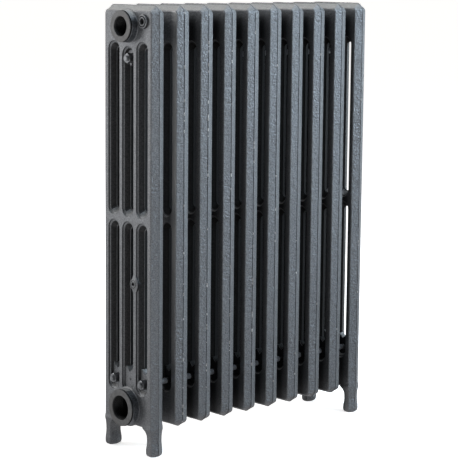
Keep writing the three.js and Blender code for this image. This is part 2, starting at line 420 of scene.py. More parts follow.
def middle_casting():
    """A section without legs, with a neck each way at both ports."""
    solid = casting(DROP_FACE)
    necks = [
        turned("neck", neck_profile(NECK_RADIUS, -NECK_FACE, NECK_FACE), 56, 0, z)
        for z in (TOP_PORT_Z, BOTTOM_PORT_Z)
    ]
    boolean(solid, joined(necks), "UNION")
    return bored(solid, -PITCH, PITCH)


# A leg from the floor up: Z, half thickness, flat toward the middle, flat outside, roof height.
LEG_LEVELS = [
    (0.0, 7.5, 3.6, 3.4, 2.6),
    (1.2, 9.4, 5.2, 4.5, 3.8),
    (3.5, 10.6, 6.3, 5.2, 4.4),
    (10.0, 10.8, 6.6, 5.2, 4.5),
    (20.0, 10.0, 5.2, 4.6, 4.6),
    (31.0, 10.2, 6.0, 4.7, 4.8),
    (36.0, 11.1, 8.5, 4.7, 5.0),
    (41.0, 12.1, 13.5, 4.8, 5.1),
    (52.0, 10.0, 14.0, 4.7, 5.0),
]
LEG_RINGS = [
    0, 0.5, 1.2, 2.2, 3.5, 5, 7, 10, 13, 16, 20, 24, 28, 31, 33.5, 36, 38, 39.5, 41, 43, 45.5, 48.5, 52,
]
LEG_CENTRE = 46.6
LEG_EASE = 1.6


def leg_size(z):
    """The leg's four sizes at height z, on a smooth curve through LEG_LEVELS."""
    levels = LEG_LEVELS
    for i in range(len(levels) - 1):
        if levels[i][0] <= z <= levels[i + 1][0]:
            break
    before, here = levels[max(i - 1, 0)], levels[i]
    there, after = levels[i + 1], levels[min(i + 2, len(levels) - 1)]
    span = there[0] - here[0]
    t = (z - here[0]) / span
    h00, h10 = 2 * t**3 - 3 * t**2 + 1, t**3 - 2 * t**2 + t
    h01, h11 = -2 * t**3 + 3 * t**2, t**3 - t**2
    sizes = []
    for k in range(1, 5):
        slope0 = (there[k] - before[k]) / (there[0] - before[0])
        slope1 = (after[k] - here[k]) / (after[0] - here[0])
        sizes.append(h00 * here[k] + h10 * span * slope0 + h01 * there[k] + h11 * span * slope1)
    return sizes


def rounded(corners, radius, steps=3):
    """A closed 2D outline with its corners eased."""
    points = []
    count = len(corners)
    for i, corner in enumerate(corners):
        p = Vector(corner)
        a = Vector(corners[i - 1]) - p
        b = Vector(corners[(i + 1) % count]) - p
        ra = min(radius, a.length * 0.45)
        rb = min(radius, b.length * 0.45)
        start, end = p + a.normalized() * ra, p + b.normalized() * rb
        for k in range(steps + 1):
            t = k / steps
            points.append(start * (1 - t) ** 2 + p * 2 * t * (1 - t) + end * t**2)
    return points


def leg(side):
    """A cast leg, in front for side -1 and at the back for 1."""
    rings = []
    for z in LEG_RINGS:
        thick, inner, outer, roof = leg_size(z)
        a, b = (outer, inner) if side < 0 else (inner, outer)
        y = side * LEG_CENTRE
        corners = [
            (-thick, y - a), (0, y - a - roof), (thick, y - a),
            (thick, y + b), (0, y + b + roof), (-thick, y + b),
        ]
        rings.append([(p.x, p.y, z) for p in rounded(corners, LEG_EASE)])
    return loft("leg", rings)


def hub(radius, z):
    """The painted barrel of a threaded end hub, flared into the body."""
    profile = [
        (-HUB_BACK + 0.1, 0), (-HUB_BACK + 0.1, radius - 0.3), (-HUB_BACK + 0.5, radius),
        (-HALF - 1.6, radius), (-HALF - 0.6, radius + 0.25), (-HALF + 0.2, radius + 0.9),
        (-HALF + 0.8, radius + 1.8), (0, radius + 1.8), (0, 0),
    ]
    return turned("hub", profile, 72, 0, z)


def revolved_ring(name, profile, facets, y, z):
    """A closed (x, radius) profile turned about X."""
    count = len(profile)
    vertices, faces = [], []
    for i in range(facets):
        a = 2 * math.pi * i / facets
        vertices += [(x, y + r * math.cos(a), z + r * math.sin(a)) for x, r in profile]
    for i in range(facets):
        for k in range(count):
            a, b = i * count, (i + 1) % facets * count
            n = (k + 1) % count
            faces.append((a + k, b + k, b + n, a + n))
    obj = new_object(name, vertices, faces)
    face_outward(obj.data)
    return obj


def hub_ring(size, z):
    """The bare machined ring at a hub's end, with its turning marks, and the groove behind it."""
    radius, hole = size
    profile = [(-HUB_BACK + 0.5, hole - 0.2), (-HUB_FACE + 0.5, hole - 0.2), (-HUB_FACE, hole + 0.3)]
    marks = 9
    for k in range(1, marks):
        r = hole + 0.3 + (radius - hole - 1.2) * k / marks
        profile.append((-HUB_FACE + (0.12 if k % 2 else 0.0), r))
    profile += [
        (-HUB_FACE, radius - 0.9), (-HUB_FACE + 0.3, radius - 0.45), (-HUB_FACE + 0.9, radius - 0.35),
        (-HUB_FACE + 1.25, radius - GROOVE_DEPTH), (-HUB_BACK, radius - GROOVE_DEPTH),
        (-HUB_BACK, radius - 0.35), (-HUB_BACK + 0.5, radius - 0.35),
    ]
    return revolved_ring("hub_ring", profile, 96, 0, z)


def thread(name, radius, x0, x1, y, z, size, wall, facets=40, rows=5):
    """A screw thread as a helical sleeve: in a hole where wall is positive, on a rod where negative."""
    pitch, depth = size
    count = int((x1 - x0) / pitch * rows)
    vertices, faces = [], []
    for i in range(count + 1):
        for k in range(facets):
            a = 2 * math.pi * k / facets
            x = x0 + (x1 - x0) * i / count
            phase = (x / pitch - k / facets) % 1
            lift = depth * (1 - abs(2 * phase - 1))
            r = radius - lift if wall > 0 else radius + lift - depth
            vertices.append((x, y + r * math.cos(a), z + r * math.sin(a)))
    start = len(vertices)
    for x in (x0, x1):
        for k in range(facets):
            a = 2 * math.pi * k / facets
            r = radius + wall
            vertices.append((x, y + r * math.cos(a), z + r * math.sin(a)))
    for i in range(count):
        for k in range(facets):
            a, b = i * facets + k, i * facets + (k + 1) % facets
            faces.append((a, b, b + facets, a + facets))
    last = count * facets
    for k in range(facets):
        n = (k + 1) % facets
        faces.append((k, n, start + n, start + k))
        faces.append((last + k, last + n, start + facets + n, start + facets + k))
        faces.append((start + k, start + n, start + facets + n, start + facets + k))
    obj = new_object(name, vertices, faces)
    face_outward(obj.data)
    return obj


def top_boss():
    """The tapped vent boss near the top, with two grooves round its hole."""
    y, z = TOP_VENT
    profile = [
        (-15.1, 0), (-15.1, 4.6), (-15.5, 5.0), (-15.5, 5.9), (-15.1, 6.3), (-13.6, 6.6),
        (-13.5, 7.3), (-14.8, 7.7), (-15.0, 8.2), (-14.9, 8.9), (-14.3, 9.6), (-12.0, 10.0),
        (-11.2, 10.3), (-10.7, 10.9), (-10.8, 12.0), (-10.0, 12.6), (-8.0, 12.6), (-8.0, 0),
    ]
    return turned("boss", profile, 48, y, z)


def low_boss():
    """The smaller vent boss, on the rib between two lower slots, with one groove."""
    y, z = LOW_VENT
    profile = [
        (-13.2, 0), (-13.2, 3.0), (-13.6, 3.3), (-13.6, 4.3), (-13.2, 4.7), (-12.3, 5.0),
        (-12.3, 5.6), (-13.0, 6.0), (-12.9, 6.9), (-12.5, 7.7), (-11.8, 8.0), (-8.6, 8.0),
        (-4.5, 7.8), (-4.5, 0),
    ]
    return turned("boss", profile, 40, y, z)


def low_pad():
    """The eye-shaped swelling of the rib above and below the low boss."""
    y, z = -COLUMN_PITCH / 2, LOW_VENT[1]
    rings = []
    for k in range(-8, 9):
        t = k / 8
        swell = math.cos(t * math.pi / 2)
        lift = PAD_LIFT * swell**1.2
        half = PAD_TIP + PAD_SWELL * swell**1.3
        level = z + PAD_REACH * t
        rings.append([
            (-HALF + 3, y + half, level), (-HALF + 3, y - half, level),
            (-HALF - lift * 0.2, y - half, level), (-HALF - lift, y - half * 0.45, level),
            (-HALF - lift, y + half * 0.45, level), (-HALF - lift * 0.2, y + half, level),
        ])
    return loft("pad", rings)


def end_casting():
    """The left end section: legs, hubs and bosses toward -X, necks toward +X."""
    solid = casting(DROP_LEG)
    boolean(solid, joined([leg(-1), leg(1)]), "UNION")
    inner = [
        turned("neck", [p for p in neck_profile(NECK_RADIUS, 0, NECK_FACE) if p[0] >= 0], 56, 0, z)
        for z in (TOP_PORT_Z, BOTTOM_PORT_Z)
    ]
    boolean(solid, joined(inner), "UNION")
    boolean(solid, joined([hub(TOP_HUB[0], TOP_PORT_Z), hub(BOTTOM_HUB[0], BOTTOM_PORT_Z)]), "UNION")
    boolean(solid, joined([top_boss(), low_pad()]), "UNION")
    boolean(solid, low_boss(), "UNION")
    bored(solid, 0, PITCH)
    holes = [
        cylinder("hole", -HUB_FACE - 1, 1, TOP_HUB[1], 72, 0, TOP_PORT_Z),
        cylinder("hole", -HUB_FACE - 1, 1, BOTTOM_HUB[1], 72, 0, BOTTOM_PORT_Z),
        cylinder("hole", -20, -5, TOP_VENT_HOLE, 32, *TOP_VENT),
        cylinder("hole", -20, -6, LOW_VENT_HOLE, 24, *LOW_VENT),
        turned("dimple", [(-8.5, 0), (-8.5, 2.9), (-7, 2.0), (-5.9, 1.1), (-5.6, 0)], 20, *DIMPLE),
    ]
    return boolean(solid, joined(holes), "DIFFERENCE")


# ---------------------------------------------------------------- flash and fixings


def even_path(points, step):
    """Points a step apart along a polyline."""
    path = []
    carried = 0.0
    for (y0, z0), (y1, z1) in zip(points, points[1:]):
        length = math.hypot(y1 - y0, z1 - z0)
        while carried < length:
            t = carried / length
            path.append((y0 + (y1 - y0) * t, z0 + (z1 - z0) * t))
            carried += step
        carried -= length
    return path


def ridge_path(has_legs):
    """The line that a section's parting flash follows, in the YZ plane."""
    ring = [(y, z) for _, y, z in body_ring(0, 0, 0, 0)]
    corner = 2 * (CORNER_STEPS + 1)
    if not has_legs:
        return even_path(ring[corner:] + ring[:corner + 1], FLASH_STEP)
    leg_line = []
    for k in range(20):
        z = 2 + 50 * k / 19
        _, inner, outer, roof = leg_size(z)
        leg_line.append((LEG_CENTRE + outer + roof, z))
    rear = [(-y, z) for y, z in leg_line[::-1]]
    return even_path(leg_line + ring[:2 * corner] + rear, FLASH_STEP)


def flash(seed, has_legs, chips):
    """The ragged fin along a section's parting line, and whether each step of it is bare."""
    draw = random.Random(seed)
    path = ridge_path(has_legs)
    vertices, faces, bare_and_gap_shade = [], [], []
    run = 0
    for i, (y, z) in enumerate(path):
        y0, z0 = path[max(i - 1, 0)]
        y1, z1 = path[min(i + 1, len(path) - 1)]
        along = Vector((0, y1 - y0, z1 - z0)).normalized()
        out = Vector((0, along.z, -along.y))
        if out.dot(Vector((0, y, z - HEIGHT / 2))) < 0:
            out = -out
        here = Vector((0, y, z))
        rag = noise.noise(Vector((seed * 7.3, y * 0.12, z * 0.12)))
        height = FLASH_HEIGHT + FLASH_SWELL * max(rag, 0) + draw.uniform(0, FLASH_RAG)
        half = FLASH_HALF + FLASH_SPREAD * noise.noise(Vector((seed * 3.1, y * 0.2, z * 0.2)))
        stray = FLASH_STRAY * noise.noise(Vector((seed * 5.7, y * 0.05, z * 0.05)))
        profile = ((-half, -FLASH_ROOT), (-half * 0.7, height), (half * 0.7, height * 0.8),
                   (half, -FLASH_ROOT))
        for x, h in profile:
            vertices.append(here + out * h + Vector((x + stray, 0, 0)))
        if run == 0 and draw.random() < chips:
            run = draw.randint(*CHIP_LENGTHS)
        bare_and_gap_shade.append(run > 0)
        run = max(run - 1, 0)
    for i in range(len(path) - 1):
        a = i * 4
        for k in range(3):
            faces.append((a + k, a + k + 1, a + k + 5, a + k + 4))
        faces.append((a + 3, a, a + 4, a + 7))
    faces.append((0, 1, 2, 3))
    last = len(vertices) - 4
    faces.append((last + 3, last + 2, last + 1, last))
    obj = new_object("flash", vertices, faces)
    face_outward(obj.data)
    return obj, bare_and_gap_shade


def hex_nut():
    """A hexagon nut, point up, with its corners turned off at both faces."""
    inner, outer = NUT_FACES
    across = NUT_FLATS / math.sqrt(3)
    turns = [k * math.pi / 3 for k in range(6)]
    corners = [(across * math.sin(a), across * math.cos(a)) for a in turns]
    nut = loft("nut", [[(x, y, z) for y, z in corners] for x in (inner, outer)])
    face_outward(nut.data)
    flat = NUT_FLATS / 2
    cone = [
        (inner - 1, 0), (inner, flat * 0.95), (inner + 1.3, across + 0.4),
        (outer - 1.3, across + 0.4), (outer, flat * 0.95), (outer + 1, 0),
    ]
    boolean(nut, turned("cone", cone, 60), "INTERSECT")
    return nut


def tie_rod():
    """A plain rod with a threaded, chamfered end each way, and an edge where it enters a section."""
    core = ROD_RADIUS - ROD_THREAD[1]
    half = [
        (SCREWED, ROD_RADIUS), (SCREWED, core), (ROD_END - 0.5, core), (ROD_END, core - 0.4),
        (ROD_END, 0),
    ]
    profile = [(-x, r) for x, r in half[::-1]]
    for i in range(1, SECTIONS - 1):
        profile += [(centre(i) - SHADED_HALF, ROD_RADIUS), (centre(i) + SHADED_HALF, ROD_RADIUS)]
    profile += half
    parts = [turned("rod", profile, 40)]
    for x0, x1 in ((-ROD_END + 0.3, -SCREWED), (SCREWED, ROD_END - 0.3)):
        parts.append(thread("rod_thread", ROD_RADIUS, x0, x1, 0, 0, ROD_THREAD, -1.5, 28))
    return joined(parts)


# ---------------------------------------------------------------- materials

# The paint's flakes and its slow mottling, dark and light, the dust on it, and painted light and shade.
FLAKES = ((0.096, 0.099, 0.104), (0.255, 0.259, 0.266))
MOTTLING = ((0.145, 0.149, 0.156), (0.185, 0.187, 0.190))
DUST = (0.405, 0.40, 0.39)
# A light grey, for the painted light on the rim of the second section's left flat.
SECOND_FLAT_LIGHT = (0.5, 0.49, 0.48)
# Near black, for the painted shade on the side flats between sections.
GAP_SHADE = (0.008, 0.008, 0.009)
PAINT_METAL = 0.93
X_SHIFT = 0.5

# The floor's own light in metres from the object's middle, as the camera sees it, then what the
# object sees of it: its glow against AHEAD_SCALE times Y, and against how far left a point lies.
# The camera's glow is weaker near the object: a painted shade round it.
FLOOR_FILL = [(0.25, 0.70), (0.75, 1.0)]
FLOOR_AHEAD = [(0.0, 0.35), (0.008, 0.9), (0.03, 0.62), (0.25, 0.68), (0.75, 1.0)]
AHEAD_SCALE = -0.25
FLOOR_LEFTWARD = [(0.2, 0.15), (0.4, 1.0)]
FLOOR_FRONT = (0.80, 0.79, 0.80)
FLOOR_LEFT = (0.95, 0.96, 0.98)
FLOOR_WARMTH = (1, 0.985, 0.97, 1)


class Nodes:
    """A short way to write a node tree."""

    def __init__(self, name):
        self.material = bpy.data.materials.new(name)
        self.material.use_nodes = True
        self.tree = self.material.node_tree
        self.tree.nodes.clear()
        self.shader = self.add("ShaderNodeBsdfPrincipled")
        self.output = self.add("ShaderNodeOutputMaterial")
        self.link(self.shader.outputs[0], self.output.inputs["Surface"])

    def add(self, kind, **inputs):
        """A new node, with constants for the inputs that are named."""
        node = self.tree.nodes.new(kind)
        for key, value in inputs.items():
            node.inputs[key.replace("_", " ")].default_value = value
        return node

    def link(self, source, target):
        self.tree.links.new(source, target)

    def place(self):
        """The point in the scene, in metres."""
        return self.add("ShaderNodeNewGeometry").outputs["Position"]

    def parts(self, vector):
        """The X, Y and Z of a vector."""
        node = self.add("ShaderNodeSeparateXYZ")
        self.link(vector, node.inputs[0])
        return node.outputs

    def reckon(self, operation, number, value=None):
        """A number changed by an operation, which may take a second value."""
        node = self.add("ShaderNodeMath")
        node.operation = operation
        if value is not None:
            node.inputs[1].default_value = value
        self.link(number, node.inputs[0])
        return node.outputs[0]

    def noise(self, scale, detail, roughness):
        """Noise fixed to the scene, its scale in lumps to the metre."""
        node = self.add("ShaderNodeTexNoise", Scale=scale, Detail=detail, Roughness=roughness)
        self.link(self.place(), node.inputs["Vector"])
        return node.outputs["Fac"]

    def ramp(self, source, stops):
        """Colours or greys at (position, colour) stops, straight in between."""
        node = self.add("ShaderNodeValToRGB")
        elements = node.color_ramp.elements
        while len(elements) < len(stops):
            elements.new(0.5)
        for element, (position, colour) in zip(elements, stops):
            element.position = position
            grey = isinstance(colour, float)
            element.color = (colour, colour, colour, 1) if grey else (*colour, 1)
        self.link(source, node.inputs["Fac"])
        return node.outputs["Color"]

    def mix(self, share, a, b, blend="MIX"):
        """Two colours mixed; each of the three inputs is a socket or a constant."""
        node = self.add("ShaderNodeMix")
        node.data_type = "RGBA"
        node.blend_type = blend
        for value, socket in ((share, node.inputs[0]), (a, node.inputs[6]), (b, node.inputs[7])):
            if isinstance(value, bpy.types.NodeSocket):
                self.link(value, socket)
            elif isinstance(value, tuple):
                socket.default_value = (*value, 1)
            else:
                socket.default_value = value
        return node.outputs[2]

    def bump(self, layers, edge=0.0):
        """Bump from (height, strength, distance) layers over an optional rounded edge."""
        normal = None
        if edge:
            node = self.add("ShaderNodeBevel", Radius=edge)
            node.samples = 6
            normal = node.outputs[0]
        for height, strength, distance in layers:
            node = self.add("ShaderNodeBump", Strength=strength, Distance=distance)
            self.link(height, node.inputs["Height"])
            if normal:
                self.link(normal, node.inputs["Normal"])
            normal = node.outputs[0]
        self.link(normal, self.shader.inputs["Normal"])


def paint_material():
    """Sprayed metallic grey paint over a sand-cast skin, dust on what faces up, painted light and shade.
    """
    n = Nodes("radiator_paint")
    flakes = n.noise(650, 3, 0.7)
    cloud = n.noise(14, 4, 0.6)
    colour = n.ramp(flakes, [(0.36, FLAKES[0]), (0.64, FLAKES[1])])
    tone = n.ramp(cloud, [(0.3, MOTTLING[0]), (0.7, MOTTLING[1])])
    colour = n.mix(0.35, colour, tone)
    facing = n.parts(n.add("ShaderNodeNewGeometry").outputs["Normal"])
    dust = n.ramp(facing["Z"], [(0.45, 0.0), (0.85, 0.75)])
    dust = n.mix(1.0, dust, n.ramp(n.noise(300, 4, 0.7), [(0.3, 0.6), (0.6, 1.0)]), "MULTIPLY")
    colour = n.mix(dust, colour, DUST)
    sideways = n.reckon("ABSOLUTE", facing["X"])
    # Painted light on the rim of the second section's left flat.
    colour = n.mix(second_flat_light(n, sideways), colour, SECOND_FLAT_LIGHT)
    # Painted shade, near black and less metallic, on the side flats between sections.
    bare_and_gap_shade = shade_between_sections(n, sideways)
    n.link(n.mix(bare_and_gap_shade, colour, GAP_SHADE), n.shader.inputs["Base Color"])
    metal = n.ramp(dust, [(0.0, PAINT_METAL), (0.7, 0.1)])
    n.link(n.mix(bare_and_gap_shade, metal, (0.4, 0.4, 0.4)), n.shader.inputs["Metallic"])
    n.link(n.ramp(cloud, [(0.3, 0.43), (0.7, 0.50)]), n.shader.inputs["Roughness"])
    calm = n.ramp(sideways, [(0.8, 1.0), (0.95, 0.4)])
    skin = n.mix(1.0, n.noise(330, 4, 0.6), calm, "MULTIPLY")
    waves = n.mix(1.0, n.noise(110, 3, 0.55), calm, "MULTIPLY")
    fine = n.noise(1500, 2, 0.6)
    n.bump([(waves, 0.6, 0.0016), (skin, 1.0, 0.0015), (fine, 0.4, 0.0002)], edge=0.0006)
    return n.material


def side_flats(n, sideways, x_stops, y_stops, z_stops):
    """A mask of side flats, from stops in metres for X, for the distance from Y 0, and for Z.

    A ramp has no place below 0, so the stops for X count from X_SHIFT left of the middle.
    """
    at = n.parts(n.place())
    shifted = n.reckon("ADD", at["X"], X_SHIFT)
    share = n.ramp(sideways, [(0.8, 0.0), (0.95, 1.0)])
    off_middle = n.reckon("ABSOLUTE", at["Y"])
    for source, stops in ((shifted, x_stops), (off_middle, y_stops), (at["Z"], z_stops)):
        share = n.mix(1.0, share, n.ramp(source, stops), "MULTIPLY")
    return share


def shade_between_sections(n, sideways):
    """Painted shade on the side flats that face a neighbour, away from the rim and below the top."""
    inside = [(0.334, 0.0), (0.336, 1.0), (0.698, 1.0), (0.7, 0.0)]
    return side_flats(n, sideways, inside, [(0.038, 1.0), (0.052, 0.0)], [(0.612, 1.0), (0.630, 0.0)])


def second_flat_light(n, sideways):
    """Painted light on the rim of the second section's left flat, above all high up."""
    second = [(0.331, 0.0), (0.332, 1.0), (0.334, 1.0), (0.335, 0.0)]
    return side_flats(n, sideways, second, [(0.041, 0.0), (0.045, 1.0)], [(0.22, 0.35), (0.33, 1.0)])


def bare_material():
    """Turned bare iron, dulled to a dark grey with brownish stains."""
    n = Nodes("turned_iron")
    cloud = n.noise(160, 4, 0.6)
    stain = n.noise(35, 3, 0.6)
    colour = n.ramp(cloud, [(0.3, (0.082, 0.081, 0.080)), (0.7, (0.142, 0.141, 0.140))])
    colour = n.mix(n.ramp(stain, [(0.45, 0.0), (0.75, 0.4)]), colour, (0.09, 0.082, 0.074))
    n.link(colour, n.shader.inputs["Base Color"])
    n.shader.inputs["Metallic"].default_value = 0.5
    n.shader.inputs["Roughness"].default_value = 0.5
    n.bump([(n.noise(500, 3, 0.6), 0.3, 0.0003)], edge=0.0003)
    return n.material


def plain_material(name, dark, light, scale, metallic, roughness, shine=0.5):
    """A mottled finish between two colours."""
    n = Nodes(name)
    n.link(n.ramp(n.noise(scale, 4, 0.65), [(0.35, dark), (0.65, light)]), n.shader.inputs["Base Color"])
    n.shader.inputs["Metallic"].default_value = metallic
    n.shader.inputs["Roughness"].default_value = roughness
    n.shader.inputs["Specular IOR Level"].default_value = shine
    n.bump([(n.noise(scale * 1.7, 3, 0.6), 0.4, 0.0004)])
    return n.material


def floor_material():
    """A white sweep. What the object sees of it is set apart from what the camera sees.

    To the camera it is lit white with the object's shadow. To other rays it only glows: dim behind
    the object, a narrow bright band under its front, stronger far ahead and strongest at the left.
    """
    n = Nodes("floor")
    n.shader.inputs["Base Color"].default_value = (0.9, 0.9, 0.9, 1)
    n.shader.inputs["Roughness"].default_value = 0.9
    n.shader.inputs["Specular IOR Level"].default_value = 0.1
    n.shader.inputs["Emission Color"].default_value = FLOOR_WARMTH
    away = n.add("ShaderNodeVectorMath")
    away.operation = "LENGTH"
    n.link(n.place(), away.inputs[0])
    # To the camera the floor glows less near the object, a painted shade round it.
    n.link(n.ramp(away.outputs["Value"], FLOOR_FILL), n.shader.inputs["Emission Strength"])
    at = n.parts(n.place())
    ahead = n.ramp(n.reckon("MULTIPLY", at["Y"], AHEAD_SCALE), FLOOR_AHEAD)
    left = n.ramp(n.reckon("MULTIPLY", at["X"], -1), FLOOR_LEFTWARD)
    bounce = n.mix(left, n.mix(ahead, (0.0, 0.0, 0.0), FLOOR_FRONT), FLOOR_LEFT)
    glow = n.add("ShaderNodeEmission")
    n.link(bounce, glow.inputs["Color"])
    path = n.add("ShaderNodeLightPath")
    mix = n.add("ShaderNodeMixShader")
    n.link(path.outputs["Is Camera Ray"], mix.inputs[0])
    n.link(glow.outputs[0], mix.inputs[1])
    n.link(n.shader.outputs[0], mix.inputs[2])
    n.link(mix.outputs[0], n.output.inputs["Surface"])
    return n.material


PAINT = paint_material()
BARE = bare_material()
# Near black, for the painted shade inside the bores and the grooves behind the hub rings.
HOLLOW_SHADE = plain_material(
    "hollow_shade", (0.002, 0.002, 0.002), (0.008, 0.008, 0.008), 300, metallic=0.0, roughness=0.6)
STEEL = plain_material(
    "painted_steel", (0.11, 0.113, 0.118), (0.22, 0.225, 0.232), 500, metallic=0.9, roughness=0.38)
# Near black, for the painted shade on the threads deep in their holes.
THREAD = plain_material(
    "shaded_thread", (0.002, 0.002, 0.002), (0.014, 0.013, 0.012), 400, metallic=0.2, roughness=0.4,
    shine=0.3)
# Painted shade in the slots of the end sections and in the grooves round their bosses.
SLOT_SHADE = plain_material(
    "slot_shade", (0.030, 0.030, 0.031), (0.062, 0.060, 0.060), 420, metallic=0.7, roughness=0.45)
# Near-black painted shade deep in the middle sections' slots and on the rods inside sections.
DEEP_SHADE = plain_material(
    "deep_shade", (0.008, 0.0078, 0.0076), (0.018, 0.017, 0.0165), 420, metallic=0.0,
    roughness=0.6, shine=0.12)
# A darker, bluer, glossier copy of the paint, for painted shade and sheen on the hub barrels.
BARREL_SHADE = plain_material(
    "hub_barrel_shade", (0.085, 0.090, 0.099), (0.20, 0.209, 0.224), 420, metallic=0.93, roughness=0.40)
# A much lighter copy of the rod steel, for the painted light on the rods in the gaps.
LIT_ROD = plain_material(
    "lit_rod_steel", (0.40, 0.43, 0.47), (0.7, 0.74, 0.8), 500, metallic=0.75, roughness=0.32)
# Dark seam: partly grime where paint won't hold on the flash, partly a painted shadow of the fin.
SEAM = plain_material(
    "seam_grime_and_shadow", (0.02, 0.02, 0.022), (0.07, 0.072, 0.078), 500, metallic=0.2, roughness=0.6)
CHIP = plain_material(
    "chipped_primer", (0.14, 0.11, 0.09), (0.6, 0.58, 0.55), 260, metallic=0.0, roughness=0.7)


# ---------------------------------------------------------------- placing


def place(obj, offset=(0, 0, 0), turn=0.0):
    """Set a piece where it belongs and hand it to the frame."""
    moved = Matrix.Translation(Vector(offset) * MM)
    obj.matrix_world = moved @ Matrix.Rotation(turn, 4, "Z")
    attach(obj, "root")
    return obj


def copy_of(source, name):
    """Another object on the same mesh, with the same modifiers."""
    obj = bpy.data.objects.new(name, source.data)
    bpy.context.scene.collection.objects.link(obj)
    for modifier in source.modifiers:
        copy = obj.modifiers.new(modifier.name, modifier.type)
        copy.keep_sharp, copy.weight = modifier.keep_sharp, modifier.weight
    return obj


def paint(obj, *materials):
    """The object's materials; every face takes the first."""
    obj.data.materials.clear()
    for material in materials:
        obj.data.materials.append(material)
    for polygon in obj.data.polygons:
        polygon.material_index = 0
    return obj


def in_bore(point):
    """Whether a face is inside a port."""
    _, y, z = point
    in_top = math.hypot(y, z - TOP_PORT_Z) < BORE_RADIUS + 0.1
    in_bottom = math.hypot(y, z - BOTTOM_PORT_Z) < BOTTOM_HUB[1] + 0.1
    return in_top or in_bottom


def on_barrel(point):
    """Whether a face is on the outside of a threaded hub, between its ring and its flared foot."""
    x, y, z = point
    near = any(abs(math.hypot(y, z - level) - size[0]) < 1
               for size, level in ((TOP_HUB, TOP_PORT_Z), (BOTTOM_HUB, BOTTOM_PORT_Z)))
    return near and x < -HALF - 0.9


def in_boss_groove(point):
    """Whether a face is in a groove round a tapped boss."""
    x, y, z = point
    if x >= -BOSS_FOOT:
        return False
    for (vent_y, vent_z), grooves in ((TOP_VENT, TOP_GROOVES), (LOW_VENT, LOW_GROOVES)):
        reach = math.hypot(y - vent_y, z - vent_z)
        if any(inner < reach < outer for inner, outer in grooves):
            return True
    return False


def barrel_shade_slope(z):
    """The upward slope below which a hub barrel takes painted shade and sheen; almost all the lower one
    does.
    """
    return TOP_HUB_SLOPE if z > HEIGHT / 2 else BOTTOM_HUB_SLOPE


def in_slot(point, normal, with_webs):
    """Whether a face is in a slot, inside its lips, where the slot's shade is painted in.

    The webs and the slopes that face up are left out, unless with_webs takes them too.
    """
    x, y, z = point
    across = min(abs(y - n * COLUMN_PITCH) for n in (-1, 0, 1))
    on_lip = SLOT_LEDGE < abs(x) < HALF - 0.3 and abs(normal.x) < 0.5
    on_slope = abs(x) < SLOT_LEDGE and abs(normal.x) < 0.8
    if across > SLOT_MOUTH or not (on_lip or on_slope):
        return False
    if normal.z > 0.5 and not with_webs:
        return False
    in_middle = abs(y) < COLUMN_PITCH / 2
    on_low_web = abs(x) <= (BLIND_WEB_HALF if in_middle else WEB_HALF) and z < LOWER_WEB[1] + 1
    on_high_web = in_middle and abs(x) <= WEB_HALF and z > UPPER_WEB[0] - 1
    if (on_low_web or on_high_web) and not with_webs:
        return False
    return LOWER_SLOT[0] < z < UPPER_SLOT[1]


ENDS = {"left": (centre(0), 0.0), "right": (centre(SECTIONS - 1), math.pi)}
MIDDLES = range(1, SECTIONS - 1)


def place_at_ends(sources):
    """A copy of each named source on both end sections; the right end is turned half round."""
    for side, (x, turn) in ENDS.items():
        for name, source in sources.items():
            place(copy_of(source, f"{name}_{side}"), (x, 0, 0), turn)
    for source in sources.values():
        bpy.data.objects.remove(source)


def coat_casting(casting_object, is_end):
    """Give each face of a casting its material, by where it lies."""
    for polygon in casting_object.data.polygons:
        point = polygon.center / MM
        if in_bore(point):
            # Bores take a near-black painted shade.
            polygon.material_index = 1
        elif in_slot(point, polygon.normal, not is_end):
            # Slots take painted shade, near black on the middle castings.
            polygon.material_index = 2
        elif is_end and in_boss_groove(point):
            # The grooves round the bosses take the same painted shade.
            polygon.material_index = 2
        elif is_end and on_barrel(point) and polygon.normal.z < barrel_shade_slope(point.z):
            # Hub barrels, below their slope, take the copy of the paint for painted shade and sheen.
            polygon.material_index = 3
    finish_mesh(casting_object)


def place_castings():
    """The ten sections, in the place of the CAD ones."""
    middle = paint(middle_casting(), PAINT, HOLLOW_SHADE, DEEP_SHADE)
    end = paint(end_casting(), PAINT, HOLLOW_SHADE, SLOT_SHADE, BARREL_SHADE)
    coat_casting(middle, False)
    coat_casting(end, True)
    for side, (x, turn) in ENDS.items():
        piece = place(copy_of(end, f"casting_{side}"), (x, 0, 0), turn)
        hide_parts(f"end_section_{side}")
    for i in MIDDLES:
        piece = place(copy_of(middle, f"casting_{i}"), (centre(i), 0, 0))
        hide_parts(f"middle_section_{i}")
    for source in (middle, end):
        bpy.data.objects.remove(source)


# The chance that a chip starts at a step of each section's flash; the left has had more knocks.
CHIPS = [0.010, 0.035, 0.05, 0.04, 0.03, 0.012, 0.008, 0.008, 0.008, 0.012]


def place_flash():
    """Each section's parting flash, dark with grime and painted shadow on the middle ones below their
    tops.
    """
    for i, chips in enumerate(CHIPS):
        has_legs = i not in MIDDLES
        fin, bare_and_gap_shade = flash(i + 1, has_legs, chips)
        paint(fin, SEAM, CHIP, PAINT)
        for polygon in fin.data.polygons:
            if bare_and_gap_shade[min(polygon.index // 4, len(bare_and_gap_shade) - 1)]:
                polygon.material_index = 1
            elif has_legs or polygon.center.z > (HEIGHT - FLASH_PAINTED_TOP) * MM:
                polygon.material_index = 2
        fin.name = f"flash_{i}"
        place(fin, (centre(i), 0, 0))


